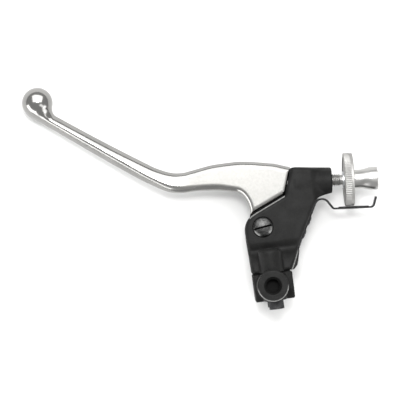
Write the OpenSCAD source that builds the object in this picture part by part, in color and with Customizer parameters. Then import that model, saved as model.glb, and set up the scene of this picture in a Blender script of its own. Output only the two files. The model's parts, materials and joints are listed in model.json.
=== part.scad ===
// Cable clutch lever: die-cast perch with a bolted clamp cap and mirror boss, dog-leg
// lever on a shouldered pivot screw, and a cable adjuster held by a leaf spring.
// The origin is the centre of the handlebar bore. +X runs along the bar towards the
// adjuster, +Y points forward and +Z up, parallel to the lever's pivot.

/* [Handlebar clamp] */
// Diameter of the handlebar bore
bar_d = 22.2; // [21.8:0.1:22.6]
// Width of the clamp along the handlebar
clamp_w = 26.2; // [24:0.2:30]
// Gap between the two clamp halves
split_gap = 0.6; // [0.3:0.1:1.5]
// Outer radius of the clamp half on the perch
clamp_r = 15.75; // [15:0.05:16.5]
// Height of the clamp screw axes above and below the bore
screw_z = 15.5; // [15:0.1:16.5]
// Radius of the round bosses that hold the clamp screws
screw_boss_r = 7.6; // [6.5:0.1:8.5]
// Reach of the screw bosses in front of the bore
screw_boss_y = 16; // [14:0.5:18]
// Distance from the bore to the flat rear face of the cap
cap_back = 18.4; // [17.8:0.1:20]

/* [Mirror boss] */
// Radius of the mirror boss
mirror_r = 10.3; // [9:0.1:11]
// Height of the mirror boss above the bore
mirror_top = 31; // [28:0.5:36]
// Distance of the mirror boss behind the bore
mirror_back = 8; // [6:0.5:10]
// Offset of the mirror boss along the bar
mirror_shift = -1; // [-2:0.5:2]
// Diameter of the tapped mirror hole, at the thread's crests
mirror_hole_d = 8.8; // [6.8:0.1:9]

/* [Fork and pivot] */
// Position of the pivot along the bar
pivot_x = -2; // [-3:0.5:-1]
// Position of the pivot in front of the bore
pivot_y = 30.5; // [30:0.5:31]
// Half of the fork's thickness
fork_h = 9.5; // [8.5:0.1:10.5]
// Half of the neck's thickness between the clamp and the fork
neck_h = 7.2; // [6:0.1:8]
// Half of the width of the slot for the lever's tongue
slot_h = 5.1; // [4.8:0.1:5.5]
// Rounding of the casting's long edges
edge_r = 2.6; // [1:0.1:3]
// Diameter of the pivot screw's shoulder
pivot_d = 8; // [7:0.5:9]
// Diameter of the pivot screw's head
pivot_head_d = 13.2; // [12:0.2:14]

/* [Lever] */
// Half of the thickness of the lever's flat web
web_h = 6.75; // [6:0.05:7.5]
// Half of the thickness of the blade beside the ball
neck_of_blade_h = 5; // [4:0.1:6]
// Half of the thickness of the tongue between the fork's ears
tongue_h = 4.5; // [4:0.1:4.55]
// Radius of the tongue's round end
tongue_r = 9.6; // [8:0.1:10]
// Radius of the ball end
ball_r = 10.3; // [8.5:0.1:10.5]
// Radius of the seat for the cable's barrel nipple
nipple_r = 4.1; // [3.6:0.1:4.6]

/* [Adjuster] */
// Angle of the adjuster's axis to the bar, in the horizontal plane
adjuster_angle = -4.5; // [-6:0.5:0]
// Outer diameter of the adjuster's thread
thread_d = 7.94; // [7.9:0.01:7.98]
// Pitch of the adjuster's thread
thread_pitch = 1.25; // [1:0.25:1.5]
// Outer diameter of the knurled wheel
wheel_d = 35.4; // [34:0.2:35.6]
// Number of ridges on the knurled wheel
knurls = 80; // [60:1:96]
// Distance from the perch to the wheel as stored
wheel_gap = 8.2; // [7.7:0.1:9]
// Thickness of the wheel
wheel_w = 6; // [5:0.5:7]
// Radius of the straight part of the barrel
barrel_r = 6.2; // [6:0.1:6.6]
// Radius of the flared end of the barrel
flare_r = 7.7; // [7:0.1:8.4]
// Width of the slit that lets the cable's inner wire in
slit_w = 2.4; // [2.2:0.1:3]

/* [Leaf spring] */
// Thickness of the leaf spring
leaf_t = 0.8; // [0.5:0.1:0.8]
// Width of the leaf spring
leaf_w = 8; // [6:0.5:8.5]

/* [Hidden] */
$fn = 64;

bar_r = bar_d / 2;
gap = split_gap / 2;
pivot = [pivot_x, pivot_y];
pivot_r = pivot_d / 2;
pivot_head_r = pivot_head_d / 2;
eps = 0.01;
fit_gap = 0.05;

// Clamp screws, M6 by 30 with a socket head
m6_r = 2.95;
m6_hole_r = 3.3;
m6_head_r = 5;
m6_head_h = 6;
m6_key = 5;
m6_tip_y = 11.9;
washer_t = 1.6;
washer_r = 5.9;
recess_r = 6.3;
recess_depth = 1.9;
cap_corner = 2;

// Fork outline, anticlockwise, as [x, y, corner radius]
fork_corners = [
    [-13.1, gap, 0], [13.1, gap, 0], [21.6, 18.7, 60], [33.2, 40, 14], [36.8, 45, 5],
    [40, 46.6, 0], [38.5, 64.7, 0], [21.7, 67.4, 1.2], [15.2, 49.4, 2], [-14.1, 36.6, 13],
    [-14, 17, 40]
];
// The same outline without the thinner neck next to the clamp
fork_foot_y = 17.5;

// Slot for the lever's tongue
slot_r = 11.2;
slot_corners = [[-40, pivot_y - slot_r, 0], [pivot_x + slot_r, pivot_y - slot_r, slot_r],
    [16.5, 50.5, 0], [-40, 90, 0]];

// Barrel boss of the perch, along the adjuster's axis
axis_start = [47.7, 55.4];
boss_tip_r = 8.1;
boss_root_r = 10;
boss_len = 26;
thread_bore_r = 4.02;
thread_bore_len = 25;
wire_r = 2;
wire_len = 45;
thread_r = thread_d / 2;
thread_root_r = thread_r - 0.61 * thread_pitch;
thread_in = 16.8;
thread_relief = 1.8;

// Leaf spring's path, as [x, y, corner radius]
leaf_corners = [[19.5, 13, 0], [22.1, 18.5, 60], [38.9, 49, 5], [46.35, 36.5, 2],
    [72.9, 34.2, 2.6], [75.4, 40.4, 0]];
// Stretch of the leaf with a pressed rib that clicks over the wheel's ridges
rib_from = [50.5, 36.15];
rib_to = [69.5, 34.5];
rib_r = 0.75;
// Screws along the leaf: which straight stretch, and how far along it
leaf_screw_spots = [[1, 0.13], [1, 0.4]];
leaf_holes_r = 2.15;
m4_r = 1.95;
m4_head_r = 3.5;
m4_head_h = 1.9;
m4_len = 8;

// Lever edges, as matching pairs of points from the fork to the ball
lever_front = [[20.4, 68], [11, 71.5], [-4, 74.7], [-12, 75.8], [-18, 76], [-25, 76],
    [-32, 75.7], [-44, 74], [-50.5, 73.3], [-57.5, 74.3], [-66, 78], [-75, 83.7],
    [-100, 101], [-125, 119], [-131, 123.4], [-134.5, 127.5]];
lever_rear = [[15, 51.7], [6, 47.7], [-8.4, 41.3], [-10, 48.5], [-14, 54.6], [-20.5, 56.8],
    [-30.5, 58.8], [-43, 59.9], [-52.5, 60], [-61.5, 62], [-71, 67.4], [-81.5, 74.4],
    [-106, 92.6], [-130.4, 111.6], [-136.5, 116.3], [-142, 121.9]];
// Last pair of points at the straight-edged web beside the fork
web_knots = 2;
// Pair of points at which the flat web has become the round blade
blade_knot = 11;
rings_per_knot = 3;
web_bevel = 3;
ring_quarter = 5;
ball = [-140.1, 132.1];
nipple = [8, 58.5];
nipple_top = 4.2;
bush_r = 5;

// Nut under the fork
nut_key = 10;
nut_h = 5;
nut_washer_t = 1;
insert_h = 1.5;
pivot_tip = fork_h + nut_washer_t + nut_h + insert_h + 0.9;

// Barrel stations along the adjuster's axis, from the perch's face
wheel_end = wheel_gap + wheel_w;
flare_start = wheel_end + 8.4;
flare_end = flare_start + 4;
barrel_end = wheel_end + 16.4;
spigot_r = 5;
socket_r = 4.6;
seat_r = 4.52;
seat_bore_r = 3.55;
seat_from = wheel_end + 0.8;
seat_to = barrel_end - 1.2;
seat_floor = 1.5;
ridge = 0.35;
lip_w = 1.8;
clip_t = 0.8;

function unit(v) = v / norm(v);
function left(v) = [-v.y, v.x];
function flat(p) = [p.x, p.y];
function wrap(a) = a > 180 ? a - 360 : (a < -180 ? a + 360 : a);

// Points of the arc that rounds corner b of the path a, b, c
function corner(a, b, c, r, n = 6) =
    r <= 0 ? [b] :
    let (u = unit(a - b), v = unit(c - b), half = acos(u * v) / 2,
        centre = b + unit(u + v) * r / sin(half),
        from = b + u * r / tan(half) - centre,
        to = b + v * r / tan(half) - centre,
        a0 = atan2(from.y, from.x),
        sweep = wrap(atan2(to.y, to.x) - a0))
    [for (i = [0:n]) centre + r * [cos(a0 + sweep * i / n), sin(a0 + sweep * i / n)]];

function rounded(p) = let (n = len(p))
    [for (i = [0:n - 1]) each corner(flat(p[(i + n - 1) % n]), flat(p[i]), flat(p[(i + 1) % n]), p[i].z)];

function rounded_path(p) = let (n = len(p))
    [for (i = [0:n - 1]) each (i == 0 || i == n - 1) ? [flat(p[i])]
        : corner(flat(p[i - 1]), flat(p[i]), flat(p[i + 1]), p[i].z, 8)];

// Corner b of a path a, b, c moved by d to its left, keeping the edges parallel
function mitre(a, b, c, d) = let (m = left(unit(b - a)), n = left(unit(c - b)))
    b + d * (m + n) / (1 + m * n);

// Anticlockwise corner list moved inwards by d, with its radii changed to match
function inset(p, d) = let (n = len(p))
    [for (i = [0:n - 1])
        let (a = flat(p[(i + n - 1) % n]), b = flat(p[i]), c = flat(p[(i + 1) % n]),
            q = mitre(a, b, c, d), turn = cross(b - a, c - b))
        [q.x, q.y, p[i].z == 0 ? 0 : turn > 0 ? max(p[i].z - d, 0.4) : p[i].z + d]];

function shifted(p, d) = let (n = len(p))
    [for (i = [0:n - 1]) mitre(i == 0 ? 2 * p[0] - p[1] : p[i - 1], p[i],
        i == n - 1 ? 2 * p[i] - p[i - 1] : p[i + 1], d)];

// Closed outline of a strip between the distances d0 and d1 to the right of a path
function strip(p, d0, d1) =
    concat(shifted(p, -d1), [for (q = [len(p) - 1:-1:0]) shifted(p, -d0)[q]]);

// Smooth curve through the points p, with t counting points
function spline(p, t) =
    let (last = len(p) - 1, i = min(floor(t), last - 1), f = t - i,
        a = p[max(i - 1, 0)], b = p[i], c = p[i + 1], d = p[min(i + 2, last)])
    b + f * ((c - a) + f * ((2 * a - 5 * b + 4 * c - d) + f * (3 * b - a - 3 * c + d))) / 2;

function blend(t) = let (x = min(max(t, 0), 1)) x * x * (3 - 2 * x);

// Plate with its long edges rounded in steps
module soft_plate(corners, half, round, steps = 3) {
    for (i = [0:steps]) {
        angle = 90 * i / steps;
        linear_extrude(2 * (half - round * (1 - sin(angle))), center = true)
            polygon(rounded(inset(corners, round * (1 - cos(angle)))));
    }
}

// Round boss along +Y whose far end has a rounded rim
module domed_boss(r, len, rim) {
    rotate([-90, 0, 0])
        rotate_extrude()
            polygon(concat([[0, 0], [r, 0]],
                [for (a = [0:15:90]) [r - rim + rim * cos(a), len - rim + rim * sin(a)]],
                [[0, len]]));
}

module along_bar(len) {
    rotate([90, 0, 90]) translate([0, 0, -len / 2]) linear_extrude(len) children();
}

module at_screws() {
    for (side = [-1, 1]) translate([0, 0, side * screw_z]) children();
}

module on_axis(s = 0) {
    translate([axis_start.x, axis_start.y, 0])
        rotate([0, 0, adjuster_angle])
            rotate([0, 90, 0])
                translate([0, 0, s])
                    children();
}

// Slit that opens the adjuster's parts downwards
module slit(from, to) {
    translate([0, -slit_w / 2, from]) cube([30, slit_w, to - from]);
}

// Carries children to the outer face of the leaf at one of its screws, with +Z outwards
module at_leaf_screw(spot) {
    a = flat(leaf_corners[spot.x]);
    b = flat(leaf_corners[spot.x + 1]);
    along = unit(b - a);
    outward = -left(along);
    place = a + (b - a) * spot.y + outward * leaf_t / 2;
    translate([place.x, place.y, 0])
        rotate([0, 0, atan2(outward.y, outward.x)])
            rotate([0, 90, 0])
                children();
}

module fork_blank() {
    intersection() {
        soft_plate(fork_corners, fork_h, edge_r);
        translate([-60, fork_foot_y, -20]) cube([120, 80, 40]);
    }
    intersection() {
        soft_plate(inset(fork_corners, 0.1), neck_h, edge_r);
        translate([-60, -5, -20]) cube([120, fork_foot_y + 12, 40]);
    }
}

module barrel_boss() {
    on_axis(-boss_len)
        cylinder(h = boss_len - 3, r1 = boss_root_r, r2 = boss_tip_r + 0.2);
    on_axis(-3)
        rotate_extrude()
            polygon([[0, -eps], [boss_tip_r + 0.2, -eps], [boss_tip_r, 2], [boss_tip_r - 1, 3], [0, 3]]);
}

module perch_clamp_half() {
    intersection() {
        union() {
            along_bar(clamp_w + 20) circle(clamp_r);
            at_screws() translate([0, gap, 0]) domed_boss(screw_boss_r, screw_boss_y - gap, 3);
        }
        translate([0, 0, -50]) linear_extrude(100) polygon(rounded(fork_corners));
    }
}

module perch_body() {
    color([0.22, 0.22, 0.23])
    difference() {
        union() {
            fork_blank();
            barrel_boss();
            perch_clamp_half();
        }
        along_bar(clamp_w + 20) circle(bar_r);
        // Relief beside the clamp, so that the bar's seat is as long as the clamp is wide
        for (side = [-1, 1])
            translate([side * (clamp_w / 2 + 10), 0, 0]) along_bar(20) circle(bar_r + 0.8);
        translate([-50, gap - 50, -50]) cube([100, 50, 100]);
        at_screws() rotate([-90, 0, 0]) cylinder(h = m6_tip_y + 1.2, r = m6_r + fit_gap);
        linear_extrude(2 * slot_h, center = true) polygon(rounded(slot_corners));
        translate([pivot.x, pivot.y, 0]) {
            cylinder(h = fork_h + 1, r = pivot_r + fit_gap);
            translate([0, 0, -fork_h - 1]) cylinder(h = fork_h + 1, r = m6_r + fit_gap);
            translate([0, 0, fork_h - 0.4]) cylinder(h = 5, r = pivot_head_r + 0.5);
        }
        on_axis(-thread_bore_len) cylinder(h = thread_bore_len + 5, r = thread_bore_r);
        on_axis(-wire_len) cylinder(h = wire_len, r = wire_r);
        on_axis() slit(-wire_len, 5);
        for (spot = leaf_screw_spots)
            at_leaf_screw(spot) translate([0, 0, -m4_len - 0.6]) cylinder(h = m4_len + 1, r = m4_r + fit_gap);
    }
}

// Section of the cap across the bar, in the YZ plane
module cap_section() {
    polygon(rounded([[-cap_back, -12.5, cap_corner], [-12.5, -clamp_r, 4], [-gap, -clamp_r, 0],
        [-gap, clamp_r, 0], [-12.5, clamp_r, 4], [-cap_back, 12.5, cap_corner]]));
}

module clamp_cap() {
    color([0.22, 0.22, 0.23])
    difference() {
        union() {
            along_bar(clamp_w) cap_section();
            at_screws() translate([0, -gap, 0]) rotate([0, 0, 180])
                domed_boss(screw_boss_r, cap_back - gap, 1);
            intersection() {
                translate([mirror_shift, -mirror_back, 0]) {
                    cylinder(h = mirror_top - 1, r = mirror_r);
                    translate([0, 0, mirror_top - 1 - eps]) cylinder(h = 1 + eps, r1 = mirror_r, r2 = mirror_r - 0.8);
                }
                union() {
                    translate([-50, -100 - gap, 0]) cube(100);
                    translate([-50, -50, screw_z + screw_boss_r + 0.6]) cube(100);
                }
            }
        }
        along_bar(clamp_w + 20) circle(bar_r);
        at_screws() rotate([90, 0, 0]) {
            cylinder(h = 50, r = m6_hole_r);
            translate([0, 0, cap_back - recess_depth]) cylinder(h = 20, r = recess_r);
        }
        translate([mirror_shift, -mirror_back, 0]) {
            translate([0, 0, screw_z + m6_hole_r + 1.2]) cylinder(h = 50, r = mirror_hole_d / 2);
            translate([0, 0, mirror_top - 1.3]) cylinder(h = 1.31, r1 = mirror_hole_d / 2, r2 = 5.75);
        }
    }
}

module clamp_screws() {
    seat = cap_back - recess_depth + washer_t;
    color([0.12, 0.12, 0.13])
    at_screws() rotate([90, 0, 0]) difference() {
        union() {
            translate([0, 0, -m6_tip_y]) cylinder(h = m6_tip_y + seat + 1, r = m6_r);
            translate([0, 0, seat]) cylinder(h = m6_head_h - 0.5, r = m6_head_r);
            translate([0, 0, seat + m6_head_h - 0.5 - eps])
                cylinder(h = 0.5 + eps, r1 = m6_head_r, r2 = m6_head_r - 0.5);
        }
        translate([0, 0, seat + m6_head_h - 3])
            cylinder(h = 4, r = m6_key / sqrt(3), $fn = 6);
    }
}

module clamp_washers() {
    color([0.5, 0.5, 0.52])
    at_screws() rotate([90, 0, 0]) translate([0, 0, cap_back - recess_depth]) difference() {
        cylinder(h = washer_t - 0.02, r = washer_r);
        translate([0, 0, -1]) cylinder(h = 5, r = m6_hole_r - 0.2);
        translate([0, -0.6, -1]) cube([10, 1.2, 5]);
    }
}

module pivot_screw() {
    head_z = fork_h - 0.38;
    color([0.32, 0.32, 0.33])
    translate([pivot.x, pivot.y, 0]) difference() {
        union() {
            translate([0, 0, -pivot_tip]) cylinder(h = pivot_tip, r = m6_r);
            translate([0, 0, -slot_h + 0.05]) cylinder(h = slot_h + head_z, r = pivot_r);
            translate([0, 0, head_z]) rotate_extrude()
                polygon(concat([[0, 0], [pivot_head_r, 0]],
                    [for (a = [0:6:30]) [pivot_head_r * cos(a * 3), 1.3 + 1.7 * sin(a * 3)]]));
        }
        translate([-10, -0.7, head_z + 1.4]) cube([20, 1.4, 4]);
    }
}

module pivot_shims() {
    color([0.75, 0.68, 0.5])
    for (z = [tongue_h + 0.04, -slot_h + 0.04])
        translate([pivot.x, pivot.y, z]) difference() {
            cylinder(h = slot_h - tongue_h - 0.08, r = 8.5);
            translate([0, 0, -1]) cylinder(h = 3, r = pivot_r + 0.1);
        }
}

module pivot_nut_washer() {
    color([0.7, 0.7, 0.7])
    translate([pivot.x, pivot.y, -fork_h - nut_washer_t]) difference() {
        cylinder(h = nut_washer_t - 0.01, r = 6);
        translate([0, 0, -1]) cylinder(h = 3, r = 3.2);
    }
}

module pivot_nut() {
    top = -fork_h - nut_washer_t;
    color([0.7, 0.7, 0.7])
    translate([pivot.x, pivot.y, 0]) difference() {
        union() {
            translate([0, 0, top - nut_h]) cylinder(h = nut_h - 0.01, r = nut_key / sqrt(3), $fn = 6);
            translate([0, 0, top - nut_h - insert_h]) cylinder(h = insert_h + eps, r = 4.7);
        }
        translate([0, 0, top - nut_h - 5]) cylinder(h = 20, r = m6_r + fit_gap);
        translate([0, 0, top - nut_h - insert_h + 0.3]) cylinder(h = insert_h, r = 4);
    }
}

module pivot_nut_insert() {
    color([0.3, 0.4, 0.75])
    translate([pivot.x, pivot.y, -fork_h - nut_washer_t - nut_h - insert_h + 0.32]) difference() {
        cylinder(h = insert_h - 0.04, r = 3.98);
        translate([0, 0, -1]) cylinder(h = 5, r = m6_r + 0.02);
    }
}

// One ring of the lever's skin: across is the half width, flat the half of the flat top
function lever_ring(t) =
    let (front = t <= web_knots ? straight(lever_front, t) : spline(lever_front, t),
        rear = t <= web_knots ? straight(lever_rear, t) : spline(lever_rear, t),
        middle = (front + rear) / 2, half = norm(front - rear) / 2, way = unit(front - rear),
        round_part = blend((t - 5) / (blade_knot - 5)),
        bevel = min(half, web_bevel + (half - web_bevel) * round_part),
        height = web_h + (neck_of_blade_h - web_h) * blend((t - 8) / 6))
    [for (quarter = [0:3], i = [0:ring_quarter - 1])
        let (a = 90 * (quarter + i / (ring_quarter - 1)), side = (quarter == 0 || quarter == 3) ? 1 : -1,
            across = side * (half - bevel) + bevel * cos(a), place = middle + way * across)
        [place.x, place.y, height * sin(a)]];

function straight(p, t) = let (i = min(floor(t), len(p) - 2)) p[i] + (p[i + 1] - p[i]) * (t - i);

module lever_skin() {
    count = (len(lever_front) - 1) * rings_per_knot;
    n = 4 * ring_quarter;
    skin = [for (k = [0:count]) each lever_ring(k / rings_per_knot)];
    sides = [for (k = [0:count - 1], j = [0:n - 1])
        let (a = k * n + j, b = k * n + (j + 1) % n)
        each (norm(skin[a] - skin[b]) < eps ? [] : [[a, b, b + n], [a, b + n, a + n]])];
    polyhedron(skin, concat(sides, [[for (j = [n - 1:-1:0]) j]], [[for (j = [0:n - 1]) count * n + j]]));
}

module lever() {
    color([0.85, 0.85, 0.86])
    difference() {
        union() {
            lever_skin();
            translate([ball.x, ball.y, 0]) sphere(ball_r);
            translate([pivot.x, pivot.y, -tongue_h]) cylinder(h = 2 * tongue_h, r = tongue_r);
            linear_extrude(2 * tongue_h, center = true)
                polygon([[-11.4, 32], [-8.3, 43], [2, 52], [13, 53], [13, 50.9], [6.6, 27]]);
        }
        translate([pivot.x, pivot.y, -20]) cylinder(h = 40, r = bush_r + 0.02);
        translate([nipple.x, nipple.y, -20]) cylinder(h = 20 + nipple_top, r = nipple_r);
        on_axis() slit(-42, -20);
        on_axis(-40) cylinder(h = 20, r = slit_w / 2);
    }
}

module pivot_bush() {
    color([0.72, 0.55, 0.28])
    translate([pivot.x, pivot.y, -tongue_h]) difference() {
        cylinder(h = 2 * tongue_h, r = bush_r);
        translate([0, 0, -1]) cylinder(h = 20, r = pivot_r + fit_gap);
    }
}

module leaf_spring() {
    color([0.3, 0.3, 0.31])
    difference() {
        linear_extrude(leaf_w, center = true)
            polygon(strip(rounded_path(leaf_corners), -leaf_t / 2, leaf_t / 2));
        for (spot = leaf_screw_spots)
            at_leaf_screw(spot) translate([0, 0, -3]) cylinder(h = 5, r = leaf_holes_r);
    }
    translate([rib_from.x, rib_from.y + leaf_t / 2, 0])
        rotate([0, 0, atan2(rib_to.y - rib_from.y, rib_to.x - rib_from.x)])
            rotate([0, 90, 0])
                cylinder(h = norm(rib_to - rib_from), r = rib_r);
}

module leaf_screws() {
    color([0.15, 0.15, 0.16])
    for (spot = leaf_screw_spots) at_leaf_screw(spot) difference() {
        union() {
            translate([0, 0, -m4_len]) cylinder(h = m4_len + 0.5, r = m4_r);
            translate([0, 0, 0.02]) cylinder(h = m4_head_h - 0.6, r = m4_head_r);
            translate([0, 0, m4_head_h - 0.6]) cylinder(h = 0.6, r1 = m4_head_r, r2 = m4_head_r - 0.7);
        }
        translate([-5, -0.5, m4_head_h - 0.9]) cube([10, 1, 2]);
    }
}

// Half profile of the adjuster's thread and barrel
function barrel_profile() = concat(
    [[0, -thread_in], [thread_root_r, -thread_in]],
    [for (s = [-thread_in + 0.4:thread_pitch:wheel_gap - thread_relief - thread_pitch])
        each [[thread_root_r, s], [thread_r, s + 0.48 * thread_pitch], [thread_r, s + 0.6 * thread_pitch]]],
    [[thread_root_r, wheel_gap - thread_relief], [thread_root_r + 0.2, wheel_gap - eps],
        [spigot_r, wheel_gap - eps], [spigot_r, wheel_end], [barrel_r, wheel_end],
        [barrel_r, flare_start]],
    [for (i = [1:7]) [barrel_r + (flare_r - barrel_r) * blend(i / 8),
        flare_start + (flare_end - flare_start) * i / 8]],
    [[flare_r, flare_end], [flare_r, barrel_end - 0.5], [flare_r - 0.5, barrel_end], [0, barrel_end]]);

module adjuster_barrel() {
    color([0.8, 0.8, 0.8])
    on_axis() difference() {
        rotate_extrude() polygon(barrel_profile());
        translate([0, 0, -thread_in - 1]) cylinder(h = 60, r = slit_w / 2);
        translate([0, 0, seat_from - 0.1]) cylinder(h = 60, r = socket_r);
        slit(-thread_in - 1, barrel_end + 1);
    }
}

module adjuster_wheel() {
    knurled_w = wheel_w - lip_w;
    outline = [for (i = [0:2 * knurls - 1]) (wheel_d / 2 - ridge * (i % 2)) * [cos(180 * i / knurls),
        sin(180 * i / knurls)]];
    color([0.8, 0.8, 0.78])
    on_axis() difference() {
        union() {
            translate([0, 0, wheel_gap]) intersection() {
                linear_extrude(knurled_w + eps) polygon(outline);
                cylinder(h = knurled_w + 1, r1 = wheel_d / 2 - 0.6, r2 = wheel_d / 2 + 4);
            }
            translate([0, 0, wheel_gap + knurled_w]) cylinder(h = lip_w - 0.5, r = wheel_d / 2 - 0.1);
            translate([0, 0, wheel_end - 0.5]) cylinder(h = 0.5, r1 = wheel_d / 2 - 0.1, r2 = wheel_d / 2 - 0.6);
        }
        cylinder(h = 50, r = spigot_r + 0.01);
        for (z = [wheel_gap - 1, wheel_end - 0.8])
            translate([0, 0, z]) difference() {
                cylinder(h = 1.8, r = wheel_d / 2 - 2.6);
                translate([0, 0, -1]) cylinder(h = 5, r = spigot_r + 3.6);
            }
        slit(0, 40);
    }
}

module wheel_circlip() {
    color([0.4, 0.4, 0.42])
    on_axis(wheel_gap - clip_t) difference() {
        cylinder(h = clip_t - 0.02, r = 5.6);
        translate([0, 0, -1]) cylinder(h = 3, r = thread_root_r + 0.25);
        slit(-1, 3);
    }
}

module cable_seat() {
    color([0.16, 0.16, 0.17])
    on_axis() difference() {
        translate([0, 0, seat_from]) cylinder(h = seat_to - seat_from, r = seat_r);
        translate([0, 0, seat_from + seat_floor]) cylinder(h = 30, r = seat_bore_r);
        cylinder(h = 50, r = slit_w / 2);
        slit(0, 50);
    }
}

perch_body();
clamp_cap();
clamp_screws();
clamp_washers();
pivot_screw();
pivot_shims();
pivot_nut_washer();
pivot_nut();
pivot_nut_insert();
lever();
pivot_bush();
leaf_spring();
leaf_screws();
adjuster_barrel();
adjuster_wheel();
wheel_circlip();
cable_seat();
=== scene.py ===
"""Looks of a cable clutch lever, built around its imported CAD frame.

Every shape is a signed distance field in millimetres, negative inside, that skin() turns into a mesh.
The origin is the centre of the handlebar bore: X runs along the bar, Y points ahead and Z up.
"""
import json
import math

import bpy
import numpy as np
import openvdb
from mathutils import Matrix, Vector


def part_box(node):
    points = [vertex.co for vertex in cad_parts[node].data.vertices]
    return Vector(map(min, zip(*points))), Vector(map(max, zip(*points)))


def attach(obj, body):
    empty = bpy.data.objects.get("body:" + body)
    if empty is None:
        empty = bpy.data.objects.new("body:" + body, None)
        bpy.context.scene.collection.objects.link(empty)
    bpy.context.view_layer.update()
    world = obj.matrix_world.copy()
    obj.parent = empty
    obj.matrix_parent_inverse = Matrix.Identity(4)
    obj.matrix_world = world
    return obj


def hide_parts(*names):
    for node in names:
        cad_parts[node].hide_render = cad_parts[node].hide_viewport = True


MM = 0.001
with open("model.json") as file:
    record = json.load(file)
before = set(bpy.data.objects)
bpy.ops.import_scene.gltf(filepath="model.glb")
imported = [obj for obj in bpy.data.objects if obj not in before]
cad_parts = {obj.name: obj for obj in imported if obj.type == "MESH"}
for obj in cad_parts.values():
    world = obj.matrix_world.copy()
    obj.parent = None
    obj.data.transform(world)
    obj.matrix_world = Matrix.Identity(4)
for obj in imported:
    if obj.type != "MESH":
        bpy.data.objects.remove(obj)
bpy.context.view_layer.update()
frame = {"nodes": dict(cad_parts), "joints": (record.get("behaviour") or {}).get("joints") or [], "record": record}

JOINTS = {j["name"]: j for j in frame["joints"]}
MOUNTS = {m["name"]: m for m in frame["record"]["mounts"]}


def in_mm(point):
    return np.array(point, float) / MM


def box_mm(node):
    low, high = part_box(node)
    return in_mm(low), in_mm(high)


# ---------------------------------------------------------------- places from the frame
PIVOT = in_mm(JOINTS["lever_pull"]["pos_m"])
AXIS_START = in_mm(JOINTS["adjuster_turn"]["pos_m"])
AXIS = np.array(JOINTS["adjuster_turn"]["axis"], float)
BAR_R = MOUNTS["handlebar_clamp"]["dims"]["r_mm"]
MIRROR = in_mm(MOUNTS["mirror_hole"]["pos_m"])
MIRROR_HOLE_R = MOUNTS["mirror_hole"]["dims"]["r_mm"]
NIPPLE = in_mm(MOUNTS["cable_nipple_seat"]["pos_m"])
NIPPLE_R = MOUNTS["cable_nipple_seat"]["dims"]["r_mm"]

cap_low, cap_high = box_mm("clamp_cap")
CLAMP_HALF = cap_high[0]
CAP_BACK = -cap_low[1]
MIRROR_TOP = cap_high[2]
screw_low, screw_high = box_mm("clamp_screws")
HEAD_END = -screw_low[1]
SCREW_TIP = screw_high[1]
HEAD_R = 5.0
SCREW_Z = screw_high[2] - HEAD_R
LEAF_HALF_W = box_mm("leaf_spring")[1][2]
pivot_low, pivot_high = box_mm("pivot_screw")
PIVOT_TIP = pivot_low[2]
PIVOT_TOP = pivot_high[2]
TONGUE_H = box_mm("pivot_bush")[1][2]
BALL_R = box_mm("lever")[1][2]
NUT_TOP = box_mm("pivot_nut")[1][2]

# Frame of the adjuster: its third axis runs outwards, and its first points down
TO_AXIS = Matrix(((0, -AXIS[1], AXIS[0], AXIS_START[0]),
                  (0, AXIS[0], AXIS[1], AXIS_START[1]),
                  (-1, 0, 0, 0),
                  (0, 0, 0, 1)))
AT_PIVOT = Matrix.Translation((PIVOT[0], PIVOT[1], 0))

# ---------------------------------------------------------------- sizes, in mm
# Heights are from the middle plane, and places along the adjuster are outwards from its boss's end
GAP = 0.3
CLAMP_R = 15.75
COLLAR_R = 13.4
BOSS_R = 7.6
BOSS_Y = 16.0
MIRROR_R = 10.3
FORK_H = 9.5
NECK_H = 7.2
NECK_Y, NECK_RAMP = 13, 8
TOE_X, TOE_RAMP, TOE_FALL = 33, 11, 6.5
SLOT_H = 5.1
EDGE_R = 2.4
AXIS_BOSS_R, AXIS_BOSS_TAPER, AXIS_BOSS_BACK = 8.2, 0.06, -26
THREAD_BORE_R, THREAD_BORE_BACK = 4.02, -25
CABLE_BORE_R, CABLE_BORE_BACK = 2, -45
RECESS_R, RECESS_DEEP = 6.8, 0.4
PIVOT_BORE_R = 4.05
SHANK_R = 2.95
SCREW_BORE_R, SCREW_BORE_SPARE = 3, 1.2
CAP_HOLE_R = 3.3
SPOT_FACE_R, SPOT_FACE_DEEP = 6.3, 1.9
MIRROR_FLOOR = 20.2
MOUTH_R, MOUTH_DEEP = 5.8, 2.2
MOUTH_FLOOR_R, MOUTH_SLOPE = 5, 0.4
WEB_H = 6.75
BLADE_H = 5.0
THREAD_PITCH = 1.25
THREAD_R, THREAD_DEPTH = 3.97, 0.72
THREAD_BACK, THREAD_END = -16.8, 9
WHEEL_START, WHEEL_END = 8.2, 14.2
WHEEL_R = 17.7
KNURL_END = 12.4
KNURLS, KNURL_DEPTH = 80, 0.55
LIP_MIDDLE, LIP_HALF = 13.2, 1
WHEEL_GROOVE_IN, WHEEL_GROOVE_OUT, WHEEL_GROOVE_DEEP = 8.6, 15.1, 0.8
SPIGOT_R, SPIGOT_MIDDLE, SPIGOT_HALF = 5, 11.6, 3.5
SOCKET_R, SOCKET_BACK = 4.6, 14.9
BARREL_R, BARREL_END = 6.2, 30.6
FLARE_R, FLARE_BACK, FLARE_LENGTH = 7.7, 18.5, 8.5
SLIT_HALF = 1.2

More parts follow.
